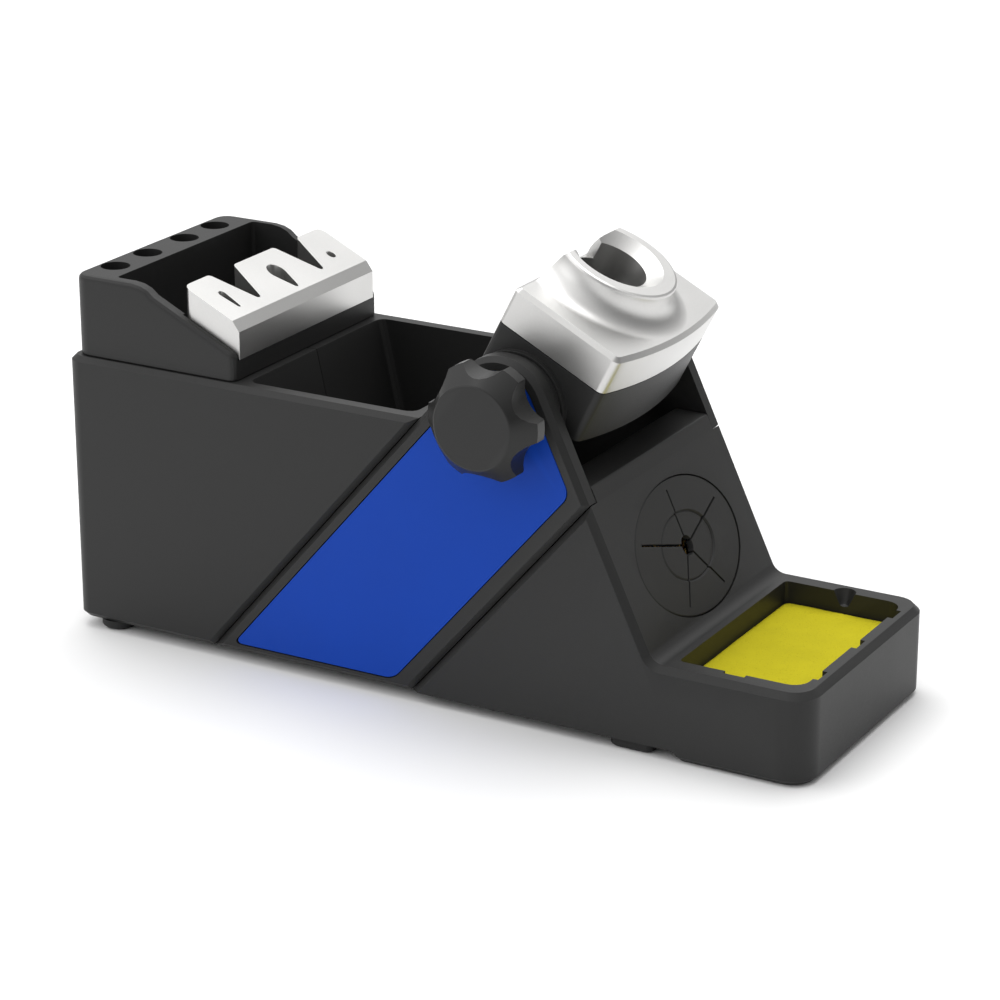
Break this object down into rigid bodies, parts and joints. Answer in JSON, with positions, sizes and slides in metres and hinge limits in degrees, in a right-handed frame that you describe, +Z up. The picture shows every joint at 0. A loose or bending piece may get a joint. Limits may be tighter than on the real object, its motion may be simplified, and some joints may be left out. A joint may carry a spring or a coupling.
{
  "type": "soldering iron stand",
  "caption": "Bench stand for a soldering iron: tilting clamped holder with a metal mouth, tip rack with puller plate, parts bin, slit wiping disc and sponge tray.",
  "frame": {"origin": "centre of the overall footprint, on the bench under the feet", "axes": "+X along the stand from the tip rack towards the sponge tray, +Y away from the side with the clamp knob, +Z up"},
  "size_m": [0.2534, 0.1032, 0.1365],
  "materials": {
    "dark_plastic": "fine moulded texture",
    "knob_plastic": "fine satin",
    "blue_panel": "smooth satin",
    "satin_aluminium": "satin die casting",
    "steel": "plain screw finish",
    "brass": "bright",
    "foot_rubber": "matt",
    "membrane_rubber": "matt",
    "washer_nylon": "plain",
    "yellow_sponge": "open-cell cellulose sponge"
  },
  "bodies": {
    "stand_body": {"rear_shell_near": "dark_plastic", "rear_shell_far": "dark_plastic", "rear_cover_plate": "dark_plastic", "middle_shell_near": "dark_plastic", "middle_shell_far": "dark_plastic", "badge_panel_near": "blue_panel", "badge_panel_far": "blue_panel", "front_housing": "dark_plastic", "base_cover": "dark_plastic", "brass_wool": "brass", "rear_foot_near": "foot_rubber", "rear_foot_far": "foot_rubber", "front_foot_near": "foot_rubber", "front_foot_far": "foot_rubber", "rear_shell_screw_1": "steel", "rear_shell_screw_2": "steel", "middle_shell_screw_1": "steel", "middle_shell_screw_2": "steel", "rear_link_screw_near": "steel", "rear_link_screw_far": "steel", "front_link_screw_near": "steel", "front_link_screw_far": "steel", "cover_screw_1": "steel", "cover_screw_2": "steel", "cover_screw_3": "steel", "cover_screw_4": "steel"},
    "rack_unit": {"tip_rack": "dark_plastic", "tip_puller": "satin_aluminium", "puller_screw_near": "steel", "puller_screw_far": "steel"},
    "holder_head": {"holder_cup": "dark_plastic", "nozzle": "satin_aluminium", "nozzle_screw_1": "steel", "nozzle_screw_2": "steel", "nozzle_screw_3": "steel", "nozzle_screw_4": "steel", "pivot_insert_near": "brass", "pivot_insert_far": "brass", "friction_washer_near": "washer_nylon", "friction_washer_far": "washer_nylon", "pivot_screw": "steel"},
    "knob_assembly": {"clamp_knob": "knob_plastic", "clamp_stud": "steel"},
    "wiper_disc": {"wiping_membrane": "membrane_rubber"},
    "sponge_block": {"sponge": "yellow_sponge"}
  },
  "joints": [
    {"name": "holder_tilt", "type": "hinge", "parent": "stand_body", "child": "holder_head", "pos_m": [0.0286, 0.0074, 0.0953], "axis": [0, 1, 0], "range_deg": [-40, 30]},
    {"name": "knob_turn", "type": "hinge", "parent": "holder_head", "child": "knob_assembly", "pos_m": [0.0286, -0.0426, 0.0953], "axis": [0, -1, 0], "range_deg": [0, 360]},
    {"name": "rack_lift", "type": "slide", "parent": "stand_body", "child": "rack_unit", "axis": [0, 0, 1], "range_m": [0, 0.04]},
    {"name": "membrane_pull", "type": "slide", "parent": "stand_body", "child": "wiper_disc", "axis": [0.9045, 0, 0.4266], "range_m": [0, 0.007]},
    {"name": "sponge_lift", "type": "slide", "parent": "stand_body", "child": "sponge_block", "axis": [0, 0, 1], "range_m": [0, 0.03]}
  ]
}
